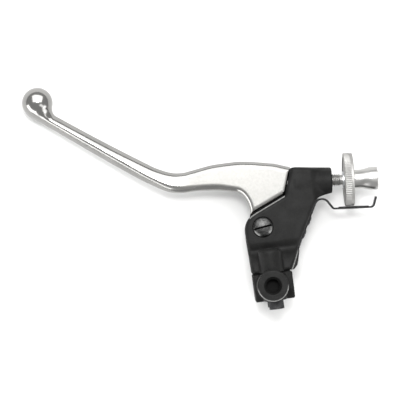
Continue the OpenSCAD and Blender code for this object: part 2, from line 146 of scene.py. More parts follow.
# Outlines are anticlockwise corner lists of x, y and corner radius
FORK = [(-13.1, GAP, 0.6), (13.1, GAP, 0.6), (21.6, 18.7, 60), (33.2, 40, 14), (36.8, 45.2, 5),
        (46.6, 47.6, 0.8), (47.8, 63.4, 0.8), (21.7, 67.4, 1.2), (15.2, 49.4, 2), (-14.1, 36.6, 13),
        (-14, 17, 40)]
COLLAR = [(-12, GAP, 1), (14.2, -0.2, 0.8), (17.3, 2.9, 2), (18.7, 7.2, 4), (20.9, 14.6, 2), (0, 20, 1)]
SLOT_R = 11.2
SLOT = [(-40, PIVOT[1] - SLOT_R, 1), (PIVOT[0] + SLOT_R, PIVOT[1] - SLOT_R, SLOT_R),
        (16.5, 50.5, 1), (-40, 90, 1)]
CAP_SECTION = [(-CAP_BACK, -12.5, 2), (-12.5, -CLAMP_R, 4), (-GAP, -CLAMP_R, 0.5),
               (-GAP, CLAMP_R, 0.5), (-12.5, CLAMP_R, 4), (-CAP_BACK, 12.5, 2)]
TONGUE = [(-11.4, 32, 1), (6.6, 27, 1), (15.2, 50.4, 1), (15.2, 53, 1), (2, 52, 1), (-8.3, 43, 1)]
LEAF_PATH = [(19.5, 13, 0), (22.1, 18.5, 60), (38.9, 49, 5), (46.35, 36.5, 2), (72.9, 34.2, 2.6),
             (75.4, 40.4, 0)]
RIB_FROM, RIB_TO = (50.5, 36.55), (69.5, 34.9)
LEVER_FRONT = [(21.35, 67.7), (11, 71.5), (-4, 74.7), (-12, 75.8), (-18, 76), (-25, 76), (-32, 75.7),
               (-44, 74), (-50.5, 73.3), (-57.5, 74.3), (-66, 78), (-75, 83.7), (-100, 101),
               (-125, 119), (-131, 123.4), (-134.5, 127.5)]
LEVER_REAR = [(15.4, 50.6), (6, 46.5), (-8.6, 40.4), (-10, 48.5), (-14, 54.6), (-20.5, 56.8),
              (-30.5, 58.8), (-43, 59.9), (-52.5, 60), (-61.5, 62), (-71, 67.4), (-81.5, 74.4),
              (-106, 92.6), (-130.4, 111.6), (-136.5, 116.3), (-142, 121.9)]
EAR_KNOT = 2
BALL = (-140.1, 132.1)


# ---------------------------------------------------------------- outlines
def unit(v):
    return v / np.linalg.norm(v)


def corner(a, b, c, r, steps=8):
    """Points of the arc that rounds corner b of the path a, b, c."""
    if r <= 0:
        return [b]
    u, v = unit(a - b), unit(c - b)
    half = math.acos(float(u @ v)) / 2
    centre = b + unit(u + v) * r / math.sin(half)
    start, end = (b + w * r / math.tan(half) - centre for w in (u, v))
    angle = math.atan2(start[1], start[0])
    sweep = math.remainder(math.atan2(end[1], end[0]) - angle, math.tau)
    turns = [angle + sweep * i / steps for i in range(steps + 1)]
    return [centre + r * np.array((math.cos(t), math.sin(t))) for t in turns]


def rounded(corners, closed=True):
    """The path through a corner list, with its corners rounded."""
    points = [np.array(c[:2], float) for c in corners]
    n = len(points)
    path = []
    for i, (_, _, r) in enumerate(corners):
        end = not closed and i in (0, n - 1)
        path += [points[i]] if end else corner(points[i - 1], points[i], points[(i + 1) % n], r)
    return path + path[:1] if closed else path


def spline(points, steps=6, straight=0):
    """Smooth curve through the points, apart from the first few stretches, which are straight."""
    p = [np.array(q, float) for q in points]
    last = len(p) - 1
    path = p[:straight]
    for i in range(straight, last):
        a = p[i] if i == straight else p[i - 1]
        b, c, d = p[i], p[i + 1], p[min(i + 2, last)]
        for f in np.arange(steps) / steps:
            path.append(b + f * ((c - a) + f * ((2 * a - 5 * b + 4 * c - d)
                                               + f * (3 * b - a - 3 * c + d))) / 2)
    return path + [p[last]]


def lengthened(path, more=60):
    """The same open path with both ends run on straight."""
    return ([path[0] + unit(path[0] - path[1]) * more] + list(path)
            + [path[-1] + unit(path[-1] - path[-2]) * more])


def side(path, x, y):
    """Distance from a path, negative on its left, so inside an anticlockwise outline."""
    best = np.full(np.broadcast(x, y).shape, 1e9)
    cross = np.zeros_like(best)
    for a, b in zip(path, path[1:]):
        ex, ey = b - a
        px, py = x - a[0], y - a[1]
        t = np.clip((px * ex + py * ey) / (ex * ex + ey * ey), 0, 1)
        square = (px - t * ex) ** 2 + (py - t * ey) ** 2
        nearer = square < best
        cross = np.where(nearer, ey * px - ex * py, cross)
        best = np.where(nearer, square, best)
    return np.sqrt(best) * np.where(cross < 0, -1, 1)


# ---------------------------------------------------------------- fields
def fade(t):
    """From 0 to 1 in a straight line, and no further."""
    return np.clip(t, 0, 1)


def blend(t):
    """From 0 to 1 with a soft start and end."""
    t = fade(t)
    return t * t * (3 - 2 * t)


def both(a, b, r=0.3):
    """Where a and b overlap, with the edge rounded."""
    return np.minimum(np.maximum(a, b), -r) + np.hypot(np.maximum(a + r, 0), np.maximum(b + r, 0))


def either(a, b, r=0.3):
    """a and b joined, with a fillet between them."""
    return np.maximum(np.minimum(a, b), r) - np.hypot(np.maximum(r - a, 0), np.maximum(r - b, 0))


def cut(a, b, r=0.3):
    """a without b, with the edge rounded."""
    return both(a, -b, r)


def on_axis(x, y, z):
    """Row coordinates to the adjuster's: down, sideways and along its axis."""
    dx, dy = x - AXIS_START[0], y - AXIS_START[1]
    return -z, dy * AXIS[0] - dx * AXIS[1], dx * AXIS[0] + dy * AXIS[1]


def trapezium(turn):
    """A thread's profile, from 0 at the root to 1 at the crest."""
    return fade(2.6 * (0.5 - np.abs(turn % 1 - 0.5)) - 0.16)


def across_flats(x, y):
    """Distance from the middle of a hexagon, measured square to its sides."""
    return np.maximum.reduce([np.abs(x * math.cos(a) + y * math.sin(a))
                              for a in np.radians((0, 60, 120))])


# ---------------------------------------------------------------- meshes
def skin(name, field, low, high, step, place=None, masks=None):
    """A mesh of the surface where the field is 0, between two corners of a box.

    Its points are moved onto the exact surface, and each mask becomes a point attribute.
    """
    low = np.array(low, float)
    count = np.ceil((np.array(high, float) - low) / step).astype(int) + 1
    axes = [low[i] + step * np.arange(count[i]) for i in range(3)]
    x, y, z = np.meshgrid(*axes, indexing="ij", sparse=True)
    band = 3 * step
    values = np.clip(np.broadcast_to(field(x, y, z), tuple(count)), -band, band)
    grid = openvdb.FloatGrid(band)
    grid.copyFromArray(np.ascontiguousarray(values, dtype=np.float32))
    points, quads = grid.convertToQuads(0.0)
    points = low + step * np.asarray(points, float)
    nudge = 0.02
    least_slope = 0.05
    for _ in range(2):
        slope = np.stack([(field(*(points + d).T) - field(*(points - d).T)) / (2 * nudge)
                          for d in np.eye(3) * nudge], axis=1)
        off = field(*points.T)
        move = slope * (off / np.maximum((slope ** 2).sum(1), least_slope))[:, None]
        points = points - np.clip(move, -step / 2, step / 2)
    shown = points
    if place is not None:
        matrix = np.array(place)
        shown = points @ matrix[:3, :3].T + matrix[:3, 3]
    mesh = bpy.data.meshes.new(name)
    mesh.from_pydata(shown * MM, [], np.asarray(quads)[:, ::-1])
    mesh.update()
    mesh.shade_smooth()
    for mask, value in (masks or {}).items():
        layer = mesh.attributes.new(mask, "FLOAT", "POINT")
        layer.data.foreach_set("value", np.asarray(value(*points.T), np.float32))
    piece = bpy.data.objects.new(name, mesh)
    bpy.context.scene.collection.objects.link(piece)
    return piece


def finish_piece(piece, body, material, slot, *stands_for):
    """Give a piece its material and its body, and hide the CAD nodes that it replaces; the slot argument is not
    used.
    """
    piece.data.materials.append(material)
    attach(piece, body)
    if stands_for:
        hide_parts(*stands_for)


# ---------------------------------------------------------------- perch
FORK_PATH = rounded(FORK)
COLLAR_PATH = rounded(COLLAR)
SLOT_PATH = rounded(SLOT)
FLANK_WEAR = ((13.5, 0.8), (21.4, 16.5))


def perch_field(x, y, z):
    up = np.abs(z)
    plan = side(FORK_PATH, x, y)
    rise = (FORK_H - NECK_H) * blend((y - NECK_Y) / NECK_RAMP)
    half = NECK_H + rise - TOE_FALL * blend((x - TOE_X) / TOE_RAMP)
    bar = np.hypot(y, z)
    body = both(plan, either(up - half, bar - CLAMP_R, r=3), EDGE_R)
    boss = both(np.hypot(x, up - SCREW_Z) - BOSS_R, y - BOSS_Y, r=3)
    body = either(body, boss, r=1.6)
    collar = both(bar - COLLAR_R, side(COLLAR_PATH, x, y), r=0.7)
    body = either(body, collar, r=0.5)
    down, across, along = on_axis(x, y, z)
    round_axis = np.hypot(down, across)
    axis_boss = both(round_axis - (AXIS_BOSS_R - AXIS_BOSS_TAPER * along), AXIS_BOSS_BACK - along, r=3)
    body = both(either(body, axis_boss, r=1.5), along, r=0.9)
    body = cut(body, y - GAP, r=0.4)
    body = cut(body, bar - BAR_R, r=0.5)
    slot = np.maximum(side(SLOT_PATH, x, y), up - SLOT_H)
    body = cut(body, slot, r=0.5)
    pivot = np.hypot(x - PIVOT[0], y - PIVOT[1])
    body = cut(body, np.maximum(pivot - RECESS_R, FORK_H - RECESS_DEEP - z), r=0.15)
    body = cut(body, pivot - PIVOT_BORE_R)
    body = cut(body, np.maximum(round_axis - THREAD_BORE_R, THREAD_BORE_BACK - along), r=0.4)
    body = cut(body, np.maximum(round_axis - CABLE_BORE_R, CABLE_BORE_BACK - along), r=0.2)
    slit = np.maximum(np.abs(across) - SLIT_HALF, np.maximum(-down, CABLE_BORE_BACK - along))
    body = cut(body, slit)
    bore_end = SCREW_TIP + SCREW_BORE_SPARE
    screw_bore = np.maximum(np.hypot(x, up - SCREW_Z) - SCREW_BORE_R, y - bore_end)
    return cut(body, screw_bore, r=0.2)


def line_mask(x, y, a, b, width):
    """1 within half the width of the straight line from a to b, fading to 0."""
    reach = np.abs(side([np.array(a, float), np.array(b, float)], x, y))
    return fade(1.5 - reach / width)


def perch_bare(x, y, z):
    """Wear on the right flank's edge, and on the upper ear's edge beside the lever."""
    outline = side(FORK_PATH, x, y)
    flank_wear = line_mask(x, y, *FLANK_WEAR, width=0.3) * (z > 3) * (outline > -0.9) * 0.6
    ear_wear = (outline > -0.7) * (x > -10) * (x < 15) * (y > 37) * (z > 6) * 0.9
    return np.maximum(flank_wear, ear_wear)


# ---------------------------------------------------------------- clamp cap
CAP_PATH = rounded(CAP_SECTION)
TOWER_FREE_Z = SCREW_Z + BOSS_R + 0.6
MIRROR_THREAD_DEPTH = 0.55


def around_mirror(x, y):
    """Distance from the mirror hole's axis, and the angle around it."""
    dx, dy = x - MIRROR[0], y - MIRROR[1]
    return np.hypot(dx, dy), np.arctan2(dy, dx)


def cap_field(x, y, z):
    up = np.abs(z)
    body = both(side(CAP_PATH, y, z), np.abs(x) - CLAMP_HALF, r=1.1)
    screw = np.hypot(x, up - SCREW_Z)
    boss = both(screw - BOSS_R, -CAP_BACK - y, r=1)
    body = either(body, boss, r=1.5)
    mirror, angle = around_mirror(x, y)
    tower = both(mirror - MIRROR_R, z - MIRROR_TOP, r=0.9)
    tower = np.maximum(tower, -z)
    body = either(body, tower, r=1.5)
    body = both(body, np.minimum(y + GAP, TOWER_FREE_Z - z))
    body = cut(body, np.hypot(y, z) - BAR_R, r=0.5)
    body = cut(body, np.maximum(screw - CAP_HOLE_R, y), r=0.2)
    body = cut(body, np.maximum(screw - SPOT_FACE_R, CAP_BACK - SPOT_FACE_DEEP + y))
    turn = z / THREAD_PITCH - angle / math.tau
    hole_r = MIRROR_HOLE_R + MIRROR_THREAD_DEPTH * (1 - trapezium(turn))
    hole = np.maximum(mirror - hole_r, MIRROR_FLOOR - z)
    mouth_floor = MIRROR_TOP - MOUTH_DEEP - z + (mirror - MOUTH_FLOOR_R) * MOUTH_SLOPE
    mouth = np.maximum(mirror - MOUTH_R, mouth_floor)
    return cut(body, np.minimum(hole, mouth), r=0.2)


def cap_rim_wear_and_glint(x, y, z):
    """Worn paint and a painted highlight along the mirror boss's rim, on the rider's side."""
    mirror, angle = around_mirror(x, y)
    off_rider = np.abs(np.remainder(np.degrees(angle) + 90 + 180, 360) - 180)
    rider_side = fade((65 - off_rider * 0.72) / 12)
    rim = fade(1.5 - np.abs(mirror - (MIRROR_R - 0.25)) / 0.32)
    return 0.6 * rim * rider_side * (z > MIRROR_TOP - 1.3)


def cap_hole_shade(x, y, z):
    """Painted shade inside the mirror hole, a little less dark below its mouth."""
    mirror, _ = around_mirror(x, y)
    depth = MIRROR_TOP - z
    inside = (mirror < MOUTH_R + 0.3) * (z > 15)
    return fade(depth / 0.3 - 1) * (1 - 0.25 * fade(depth - 3)) * inside


# ---------------------------------------------------------------- lever
FRONT_PATH = lengthened(spline(LEVER_FRONT, straight=EAR_KNOT))
REAR_PATH = lengthened(spline(LEVER_REAR[EAR_KNOT:]))
EAR_PATH = lengthened([np.array(p, float) for p in LEVER_REAR[:EAR_KNOT + 1]])
SHOULDER_PATH = lengthened([np.array(LEVER_FRONT[0], float), np.array(LEVER_REAR[0], float)])
TONGUE_PATH = rounded(TONGUE)
EAR_BAND, SHOULDER_BAND = 1.3, 0.5
# Along the lever, as x and width: the flanks, and how far in from the rear edge the ridge runs
FRONT_BAND = ((-90, 3.1), (-50, 2.4), (20, 2.3))
REAR_BAND = ((-130, 2.5), (-100, 2.5), (-75, 2.1), (-60, 1.3), (-50, 0.8), (-40, 0.6))
RIDGE_IN = ((-130, 3.8), (-106, 4.2), (-81, 4.0), (-61, 3.3), (-43, 2.7), (-28, 2.9), (-12, 2.1),
            (-6, 1.8))
FLANK_SLOPE = math.tan(math.radians(52))
FRONT_TILT = math.tan(math.radians(10))
REAR_TILT = math.tan(math.radians(38))
BLADE_WAY = unit(np.array((-0.75, 0.66)))
TONGUE_ROUND_R = 9.6
BUSH_R = 5.0
NIPPLE_ROOF = 4.2
LEVER_SLIT_BACK = -42


def along_lever(x, table):
    """A width that changes along the lever."""
    xs, widths = zip(*table)
    return np.interp(x, xs, widths)


def flank(depth, up, width, high):
    """The steep side of a section, which reaches its full height at width inwards."""
    slope = (up - high - FLANK_SLOPE * (depth - width)) / math.hypot(1, FLANK_SLOPE)
    return both(slope, -depth, r=0.7)


def lever_parts(x, y, z):
    """The lever's flanks and its top, which is flat on the web and ridged on the blade."""
    up = np.abs(z)
    front, rear = -side(FRONT_PATH, x, y), side(REAR_PATH, x, y)
    ridge_h = WEB_H + (BLADE_H - WEB_H) * blend((-45 - x) / 70)
    tilt = FRONT_TILT * blend((-44 - x) / 30)
    ridge_in = along_lever(x, RIDGE_IN)
    front_band, rear_band = along_lever(x, FRONT_BAND), along_lever(x, REAR_BAND)
    front_high = ridge_h - tilt * np.maximum(front + rear - ridge_in - front_band, 0)
    rear_high = ridge_h - REAR_TILT * (ridge_in - rear_band)
    sides = both(flank(front, up, front_band, front_high), flank(rear, up, rear_band, rear_high), r=0.5)
    ends = both(flank(side(EAR_PATH, x, y), up, EAR_BAND, WEB_H),
                flank(side(SHOULDER_PATH, x, y), up, SHOULDER_BAND, WEB_H), r=0.5)
    facet = (up - ridge_h + (rear - ridge_in) * tilt) / np.hypot(1, tilt)
    back = (up - ridge_h - (rear - ridge_in) * REAR_TILT) / np.hypot(1, REAR_TILT)
    top = both(facet, back, r=1.05)
    return both(both(sides, ends, r=0.5), top, r=1.1)


def lever_field(x, y, z):
    body = lever_parts(x, y, z)
    outwards = (x - BALL[0]) * BLADE_WAY[0] + (y - BALL[1]) * BLADE_WAY[1]
    body = both(body, outwards, r=1)
    ball = np.sqrt((x - BALL[0]) ** 2 + (y - BALL[1]) ** 2 + z ** 2) - BALL_R
    body = either(body, ball, r=5.5)
    pivot = np.hypot(x - PIVOT[0], y - PIVOT[1])
    plan = np.minimum(side(TONGUE_PATH, x, y), pivot - TONGUE_ROUND_R)
    body = either(body, both(plan, np.abs(z) - TONGUE_H, r=0.4), r=0.4)
    body = cut(body, pivot - BUSH_R, r=0.2)
    nipple = np.hypot(x - NIPPLE[0], y - NIPPLE[1])
    body = cut(body, np.maximum(nipple - NIPPLE_R, z - NIPPLE_ROOF))
    down, across, along = on_axis(x, y, z)
    slit = np.maximum(np.abs(across) - SLIT_HALF, np.maximum(-down, LEVER_SLIT_BACK - along))
    return cut(body, slit)


def lever_ridge(x, y, z):
    """The ridge between the blade's two faces, which is dulled by handling."""
    off_ridge = np.abs(side(REAR_PATH, x, y) - along_lever(x, RIDGE_IN))
    return fade(1.8 - off_ridge / 0.55) * fade((-38 - x) / 8) * (x > -132)


def lever_satin(x, y, z):
    """The web's flat faces, fading out at the start of the blade."""
    return fade((np.abs(z) - WEB_H + 0.35) / 0.2) * fade((x + 60) / 14)


def lever_gap_shade(x, y, z):
    """Painted shade on the tongue and the steps beside the fork, standing in for the shadowed gap there."""
    beside = np.minimum(side(EAR_PATH, x, y), side(SHOULDER_PATH, x, y))
    return fade(0.5 - beside / 0.3) * (x > -12.5)


# ---------------------------------------------------------------- screws and nut
PIVOT_HEAD_R, PIVOT_RIM_H = 6.4, 1.1
PIVOT_HEAD_BASE = FORK_H - 0.38
PIVOT_SLOT_HALF = 0.6
PIVOT_SHOULDER_R = 4
NUT_FLAT, NUT_HALF_H = 5, 2.5
NUT_RING_R, NUT_RING_DOWN, NUT_RING_HALF_H = 4.7, 5.75, 0.75
NUT_BORE_R = 3.0
INSERT_R, INSERT_DOWN = 4.0, 6.2
HEAD_HALF_H = 3
GRIPS, GRIP_DEPTH = 34, 0.22
SOCKET_FLAT, SOCKET_DEEP = 2.5, 3
LEAF_HEAD_R, LEAF_HEAD_H = 3.5, 1.3
LEAF_SHANK_R, LEAF_SHANK_TIP = 1.95, -8
LEAF_SLOT_HALF, LEAF_SLOT_FLOOR = 0.4, 0.8


def pivot_screw_field(x, y, z):
    r = np.hypot(x, y)
    rim = PIVOT_HEAD_BASE + PIVOT_RIM_H
    dome = 1.7 * (np.hypot(r / PIVOT_HEAD_R, np.maximum(z - rim, 0) / (PIVOT_TOP - rim)) - 1)
    head = both(np.maximum(dome, r - PIVOT_HEAD_R), PIVOT_HEAD_BASE - z, r=0.2)
    shoulder_ends = np.maximum(z - PIVOT_HEAD_BASE - 0.2, -SLOT_H + 0.05 - z)
    shoulder = both(r - PIVOT_SHOULDER_R, shoulder_ends, r=0.2)
    shank = both(r - SHANK_R, np.maximum(z, PIVOT_TIP - z), r=0.5)
    body = np.minimum(np.minimum(head, shoulder), shank)
    return cut(body, np.maximum(np.abs(y) - PIVOT_SLOT_HALF, rim - z), r=0.15)


def pivot_slot_shade(x, y, z):
    """Painted shade inside the slot in the domed head."""
    dome_top = FORK_H + 0.72 + 0.7 * np.sqrt(fade(1 - (x * x + y * y) / 41))
    return (np.abs(y) < 0.72) * (z < dome_top - 0.25) * (z > FORK_H)


def pivot_rim_glint(x, y, z):
    """Painted highlight, shown as worn metal, on the rider's side of the head's rim, left and right of its middle.
    """
    r = np.hypot(x, y)
    off_middle = np.abs(np.degrees(np.arctan2(x, -y)))
    around = fade((off_middle - 28) / 12) * fade((84 - off_middle) / 8)
    return fade((r - 4.4) / 0.8) * around * (z > FORK_H - 0.2)


def nut_field(x, y, z):
    r = np.hypot(x, y)
    ends = np.abs(z - NUT_TOP + NUT_HALF_H) - NUT_HALF_H
    body = both(across_flats(y, -x) - NUT_FLAT, ends, r=0.2)
    chamfer = 0.45 * (r - 5.2) + 0.89 * ends
    body = both(body, chamfer, r=0.1)
    ring = both(r - NUT_RING_R, np.abs(z - NUT_TOP + NUT_RING_DOWN) - NUT_RING_HALF_H, r=0.5)
    body = either(body, ring, r=0.2)
    body = cut(body, r - NUT_BORE_R, r=0.2)
    return cut(body, np.maximum(r - INSERT_R, z - NUT_TOP + INSERT_DOWN), r=0.1)


def clamp_screw_field(x, y, z):
    """Both screws, as mirror images in the middle plane."""
    up = np.abs(z) - SCREW_Z
    r = np.hypot(x, up)
    depth = -y
    turn = np.arctan2(up, x) * GRIPS / math.tau
    grip = HEAD_R - GRIP_DEPTH * np.abs(2 * (turn % 1) - 1) * (depth < HEAD_END - 1.1)
    middle = depth - HEAD_END + HEAD_HALF_H
    head = both(r - grip, np.abs(middle) - HEAD_HALF_H, r=0.45)
    shank = both(r - SHANK_R, np.maximum(middle, -SCREW_TIP - depth), r=0.5)
    body = np.minimum(head, shank)
    socket = np.maximum(across_flats(x, up) - SOCKET_FLAT, HEAD_END - SOCKET_DEEP - depth)
    return cut(body, socket, r=0.12)


def leaf_screw_field(x, y, z):
    r = np.hypot(x, y)
    dome = 1.2 * (np.hypot(r / LEAF_HEAD_R, np.maximum(z, 0) / LEAF_HEAD_H) - 1)
    head = both(dome, 0.02 - z, r=0.1)
    shank = both(r - LEAF_SHANK_R, np.maximum(z - 0.5, LEAF_SHANK_TIP - z))
    slot = np.maximum(np.abs(y) - LEAF_SLOT_HALF, LEAF_SLOT_FLOOR - z)
    return cut(np.minimum(head, shank), slot, r=0.1)


# ---------------------------------------------------------------- leaf spring
LEAF_LINE = rounded(LEAF_PATH, closed=False)
LEAF_HALF_T = 0.6
RIB_R = 0.75


def leaf_field(x, y, z):
    """The strip, whose first stretch is run back and then cut off square, and its rib."""
    start = LEAF_LINE[0]
    way = unit(LEAF_LINE[1] - start)
    ribbon = np.abs(side([start - way * 20] + LEAF_LINE[1:], x, y)) - LEAF_HALF_T
    behind = (start[0] - x) * way[0] + (start[1] - y) * way[1]
    strip = both(both(ribbon, behind, r=0.15), np.abs(z) - LEAF_HALF_W, r=0.2)
    rib = np.hypot(side([np.array(RIB_FROM), np.array(RIB_TO)], x, y), z) - RIB_R
    return either(strip, rib)


# ---------------------------------------------------------------- adjuster
def barrel_field(x, y, s):
    """The barrel, where s is the place along its axis."""
    r = np.hypot(x, y)
    turn = s / THREAD_PITCH - np.arctan2(y, x) / math.tau
    depth = THREAD_DEPTH * (1 - trapezium(turn))
    run_out = fade((s - 5.2) / 1.2)
    point = 0.6 * fade((-15.9 - s) / 0.9)
    thread_r = THREAD_R - (depth + (THREAD_DEPTH - depth) * run_out) - point
    thread = both(r - thread_r, np.maximum(s - THREAD_END, THREAD_BACK - s), r=0.15)
    spigot = both(r - SPIGOT_R, np.abs(s - SPIGOT_MIDDLE) - SPIGOT_HALF, r=0.15)
    flare = BARREL_R + (FLARE_R - BARREL_R) * blend((s - FLARE_BACK) / FLARE_LENGTH)
    grip = both(r - flare, np.maximum(s - BARREL_END, WHEEL_END - s), r=0.55)
    body = np.minimum(np.minimum(thread, spigot), grip)
    body = cut(body, r - SLIT_HALF, r=0.2)
    body = cut(body, np.maximum(r - SOCKET_R, SOCKET_BACK - s))
    return cut(body, np.maximum(np.abs(y) - SLIT_HALF, -x), r=0.2)


def wheel_field(x, y, s):
    r = np.hypot(x, y)
    ridge = np.abs(2 * ((np.arctan2(y, x) * KNURLS / math.tau) % 1) - 1)
    knurl_ends = np.abs(s - (WHEEL_START + KNURL_END) / 2) - (KNURL_END - WHEEL_START) / 2
    knurled = both(r - WHEEL_R + KNURL_DEPTH * ridge, knurl_ends, r=0.35)
    lip = both(r - WHEEL_R + 0.1, np.abs(s - LIP_MIDDLE) - LIP_HALF, r=0.45)
    body = np.minimum(knurled, lip)
    groove = np.maximum(r - WHEEL_GROOVE_OUT, WHEEL_GROOVE_IN - r)
    body = cut(body, np.maximum(groove, s - WHEEL_START - WHEEL_GROOVE_DEEP), r=0.4)
    body = cut(body, np.maximum(groove, WHEEL_END - WHEEL_GROOVE_DEEP - s), r=0.4)
    body = cut(body, r - SPIGOT_R - 0.01, r=0.2)
    return cut(body, np.maximum(np.abs(y) - SLIT_HALF, -x), r=0.2)


def turned_mask(x, y, s):
    """Grows along the axis and outwards, so that noise over it looks like turning marks."""
    return s + np.hypot(x, y)


def thread_mask(x, y, s):
    """The thread, which is duller than the barrel."""
    return fade((8 - s) / 0.5)


# ---------------------------------------------------------------- materials
class Look:
    """A material whose nodes vary its colour, roughness and bump."""

    def __init__(self, name):
        self.material = bpy.data.materials.new(name)
        self.material.use_nodes = True
        self.tree = self.material.node_tree
        self.shader = self.tree.nodes["Principled BSDF"]
        self.place = self.add("ShaderNodeTexCoord").outputs["Object"]

    def add(self, kind, inputs=None, **settings):
        node = self.tree.nodes.new(kind)
        for key, value in settings.items():
            setattr(node, key, value)
        for key, value in (inputs or {}).items():
            self.put(node.inputs[key], value)
        return node

    def put(self, socket, value):
        """Link a socket to another one, or set its value."""
        if isinstance(value, bpy.types.NodeSocket):
            self.tree.links.new(value, socket)
        else:
            socket.default_value = value

    def mask(self, attribute):
        return self.add("ShaderNodeAttribute", attribute_name=attribute).outputs["Fac"]

    def noise(self, size, detail=2.0, rough=0.5):
        """Noise with features of about this size, in mm."""
        return self.add("ShaderNodeTexNoise", {"Vector": self.place, "Scale": 1 / (size * MM),
                                               "Detail": detail, "Roughness": rough}).outputs["Fac"]

    def lines(self, attribute, size):
        """Noise that varies with one attribute alone, such as turning marks."""
        return self.add("ShaderNodeTexNoise",
                        {"W": self.mask(attribute), "Scale": 1 / size, "Detail": 3.0},
                        noise_dimensions="1D").outputs["Fac"]

    def scratches(self):
        """Noise drawn out along the lever's blade."""
        stretched = self.add("ShaderNodeMapping", {"Vector": self.place, "Scale": (120, 1500, 900),
                                                   "Rotation": (0, 0, 0.7)}).outputs["Vector"]
        return self.add("ShaderNodeTexNoise",
                        {"Vector": stretched, "Scale": 1.0, "Detail": 3.0}).outputs["Fac"]

    def span(self, value, low, high, start=0.3, end=0.7):
        """low where value is start, and high where it is end."""
        return self.add("ShaderNodeMapRange", {"Value": value, "From Min": start, "From Max": end,
                                               "To Min": low, "To Max": high}).outputs["Result"]

    def wear_and_glint(self, noise, low, high):
        """The mask of worn metal and painted highlight, broken up by noise."""
        return self.add("ShaderNodeMath", {0: self.mask("bare_and_glint"), 1: self.span(noise, low, high)},
                        operation="MULTIPLY", use_clamp=True).outputs[0]

    def mix(self, value, a, b):
        """Colour a where value is 0 and colour b where it is 1."""
        node = self.add("ShaderNodeMix", data_type="RGBA")
        self.put(node.inputs["Factor"], value)
        for socket, colour in ((node.inputs[6], a), (node.inputs[7], b)):
            self.put(socket, (*colour, 1) if isinstance(colour, tuple) else colour)
        return node.outputs[2]

    def mixed(self, value, a, b):
        """Number a where value is 0 and number b where it is 1."""
        node = self.add("ShaderNodeMix", data_type="FLOAT")
        for socket, number in zip(node.inputs[:1] + node.inputs[2:4], (value, a, b)):
            self.put(socket, number)
        return node.outputs[0]

    def bump(self, height, depth):
        """Bump whose full depth is given in mm."""
        node = self.add("ShaderNodeBump", {"Height": height, "Distance": depth * MM, "Strength": 1.0})
        self.put(self.shader.inputs["Normal"], node.outputs["Normal"])

    def set(self, **inputs):
        for key, value in inputs.items():
            self.put(self.shader.inputs[key.replace("_", " ")], value)


def plain_metal(name, dark, light, rough, grain=1.2, depth=0.01, lines=None, dull=None):
    """Bare or plated metal whose tone and gloss drift a little, with fine marks."""
    look = Look(name)
    drift = look.noise(6, detail=3)
    fine = look.lines(*lines) if lines else look.noise(grain, detail=4, rough=0.6)
    gloss = look.span(fine, *rough)
    if dull:
        gloss = look.mixed(look.mask("dull"), gloss, dull)
    look.set(Metallic=1.0, Base_Color=look.mix(look.span(drift, 0, 1), dark, light), Roughness=gloss)
    look.bump(fine, depth)
    return look.material


def cast_black(name, hollow_shade=False):
    """Satin black paint over a casting, worn to the metal on some edges; on the cap the worn rim is also a painted
    highlight, and the mirror hole gets painted shade.
    """
    look = Look(name)
    grain = look.noise(0.55, detail=3, rough=0.6)
    cloud = look.noise(9, detail=3)
    tone = look.mix(look.span(cloud, 0, 1), (0.0048, 0.0048, 0.0046), (0.0074, 0.0074, 0.0072))
    tone = look.mix(look.span(grain, 0, 0.6, start=0.45, end=0.75), tone, (0.02, 0.02, 0.0195))
    gloss = look.span(grain, 0.46, 0.6)
    shine = look.span(cloud, 0.1, 0.135)
    if hollow_shade:
        # Painted shade: inside the mirror hole the paint is evened to one dark tone with little sheen
        inside = look.mask("hollow_shade")
        tone = look.mix(inside, tone, (0.006, 0.006, 0.0059))
        shine = look.mixed(inside, shine, 0.03)
    # Worn metal on edges, which on the cap's mirror rim is also a painted highlight
    wear_and_glint = look.wear_and_glint(look.noise(1.1, detail=4, rough=0.65), 0.3, 1.15)
    look.set(Base_Color=look.mix(wear_and_glint, tone, (0.45, 0.45, 0.44)), Metallic=wear_and_glint,
             Roughness=look.mixed(wear_and_glint, gloss, 0.36), Specular_IOR_Level=shine)
    look.bump(grain, 0.035)
    return look.material


def lever_metal():
    """Polished aluminium, with a satin face on the web's flats and painted shade on the tongue beside the fork."""
    look = Look("lever_aluminium")
    satin = look.mask("satin")
    speck = look.noise(0.5, detail=3, rough=0.65)
    drift = look.noise(14)
    scratch = look.scratches()
    polished = look.mixed(look.mask("ridge"), look.span(scratch, 0.12, 0.19), 0.34)
    matt = look.span(speck, 0.33, 0.46)
    bright = look.mix(look.span(drift, 0, 1), (0.25, 0.248, 0.241), (0.285, 0.282, 0.274))
    blotch = look.span(look.noise(1.8, detail=4, rough=0.7), 0, 1, start=0.35, end=0.6)
    face = look.mix(blotch, (0.213, 0.211, 0.203), (0.235, 0.233, 0.224))
    tone = look.mix(satin, bright, face)
    # Painted shade: the tongue and the steps beside the fork turn near black, like the shadowed gap
    look.set(Metallic=1.0, Base_Color=look.mix(look.mask("gap_shade"), tone, (0.012, 0.012, 0.012)),
             Roughness=look.mixed(satin, polished, matt))
    look.bump(look.mixed(satin, look.span(scratch, 0, 0.12), speck), 0.02)
    return look.material


